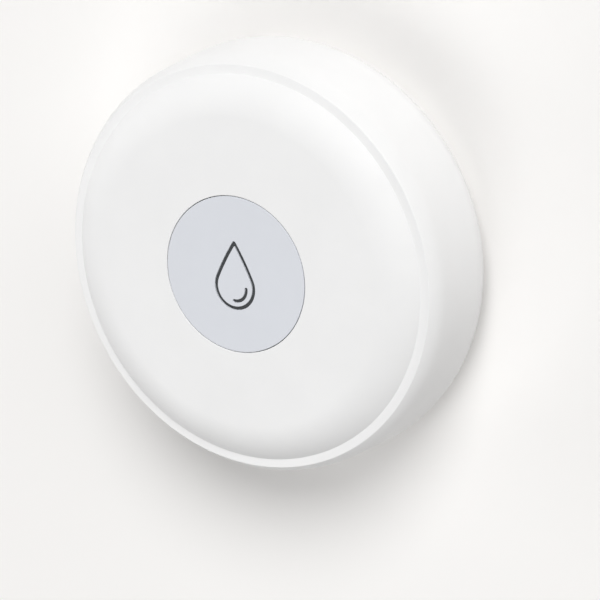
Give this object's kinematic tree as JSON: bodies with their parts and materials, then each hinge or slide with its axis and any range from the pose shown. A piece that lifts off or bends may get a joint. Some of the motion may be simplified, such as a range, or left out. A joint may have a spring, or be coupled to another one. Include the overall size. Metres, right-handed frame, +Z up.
{
  "type": "water leak sensor",
  "caption": "Round white puck-shaped water leak sensor with a pillow-shaped front, a flush push button with a water drop sign, and leak probes and a battery door underneath.",
  "frame": {"origin": "on the floor under the middle of the case, in the plane of the feet", "axes": "+Z up, out of the front with the button; +Y towards the top of the drop sign; +X to its right"},
  "size_m": [0.05, 0.05, 0.016],
  "materials": {
    "white_shell": "satin",
    "white_button": "satin",
    "sign_grey": "matte",
    "white_base": "satin",
    "door_white": "satin",
    "foot_rubber": "matte",
    "seal_rubber": "matte",
    "silicone": "translucent matte",
    "screw_steel": "zinc plated",
    "probe_gilt": "gold plated",
    "post_brass": "turned",
    "board_green": "solder mask",
    "black_plastic": "moulded",
    "holder_plastic": "moulded",
    "retainer_plastic": "moulded",
    "spring_metal": "nickel plated",
    "cell_steel": "rolled",
    "cell_gasket_plastic": "moulded",
    "cell_filling": "pressed powder",
    "shield_metal": "tin plated",
    "track_copper": "gold plated",
    "pin_tin": "tin plated",
    "ceramic": "fired",
    "radio_board_black": "solder mask"
  },
  "bodies": {
    "case": {"front_housing": "white_shell", "base_plate": "white_base", "base_seal": "seal_rubber", "case_screws": "screw_steel", "feet": "foot_rubber", "battery_holder": "holder_plastic", "positive_contact": "spring_metal", "negative_contact": "spring_metal", "cell_can": "cell_steel", "cell_cap": "cell_steel", "cell_gasket": "cell_gasket_plastic", "cell_core": "cell_filling", "circuit_board": "board_green", "board_screws": "screw_steel", "probe_screws": "probe_gilt", "probe_posts": "post_brass", "probe_seals": "seal_rubber", "button_membrane": "silicone", "membrane_retainer": "retainer_plastic", "retainer_screws": "screw_steel", "switch_housing": "black_plastic", "switch_dome": "spring_metal", "switch_cover": "shield_metal", "switch_terminals": "pin_tin", "radio_board": "radio_board_black", "radio_chip": "black_plastic", "radio_shield": "shield_metal", "antenna": "track_copper", "sense_chip": "black_plastic", "chip_pins": "pin_tin", "crystal": "shield_metal", "chip_capacitors": "ceramic"},
    "button": {"button_cap": "white_button", "drop_inlay": "sign_grey"},
    "plunger": {"switch_plunger": "black_plastic"},
    "door": {"battery_door": "door_white", "door_seal": "seal_rubber"}
  },
  "joints": [
    {"name": "button_press", "type": "slide", "parent": "case", "child": "button", "axis": [0, 0, -1], "range_m": [0, 0.0005], "stiffness_N_per_m": 3000, "deforming": ["button_membrane"]},
    {"name": "switch_press", "type": "slide", "parent": "case", "child": "plunger", "axis": [0, 0, -1], "range_m": [0, 0.00025], "deforming": ["switch_dome"]},
    {"name": "door_turn", "type": "hinge", "parent": "case", "child": "door", "pos_m": [0, 0, 0.0022], "axis": [0, 0, -1], "range_deg": [0, 45]}
  ],
  "couplings": [
    {"joint": "switch_press", "follows": "button_press", "ratio": 0.5}
  ]
}
